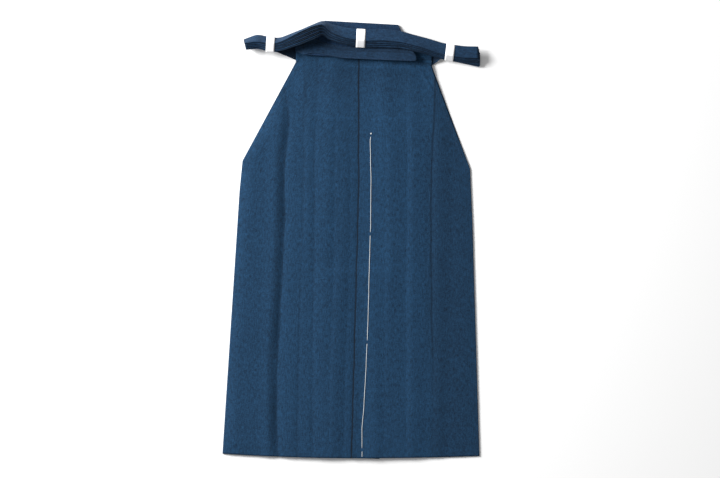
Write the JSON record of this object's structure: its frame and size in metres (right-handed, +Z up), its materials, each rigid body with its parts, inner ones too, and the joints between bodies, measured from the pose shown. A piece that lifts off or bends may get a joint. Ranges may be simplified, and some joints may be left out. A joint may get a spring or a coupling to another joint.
{
  "type": "hakama trousers",
  "caption": "Pleated wide hakama trousers laid flat with the back up, stiff back board at the waist and the long straps folded across it in paper bands.",
  "frame": {"origin": "middle of the footprint, on the surface that the garment lies on", "axes": "+Y from the hem to the waist, +X to the right as seen from above, +Z up from the surface, the garment's back facing up"},
  "size_m": [0.6078, 1.0342, 0.0484],
  "materials": {
    "cloth": "dark indigo blue woven cloth, matte, fine uneven weave",
    "strap_cloth": "the same cloth folded to straps, matte",
    "board_cloth": "the same cloth over a stiff board, matte",
    "paper": "plain white paper band"
  },
  "bodies": {
    "root": {"front_panel_left": "cloth", "front_panel_right": "cloth", "inner_leg_left": "cloth", "inner_leg_right": "cloth", "front_waistband": "cloth", "back_panel_left": "cloth", "back_panel_right": "cloth", "back_board": "board_cloth", "back_strap_base": "strap_cloth", "back_strap_left": "strap_cloth", "back_strap_right": "strap_cloth", "front_strap_left": "strap_cloth", "front_strap_right": "strap_cloth", "paper_band_left": "paper", "paper_band_centre": "paper", "paper_band_right": "paper"}
  },
  "joints": []
}
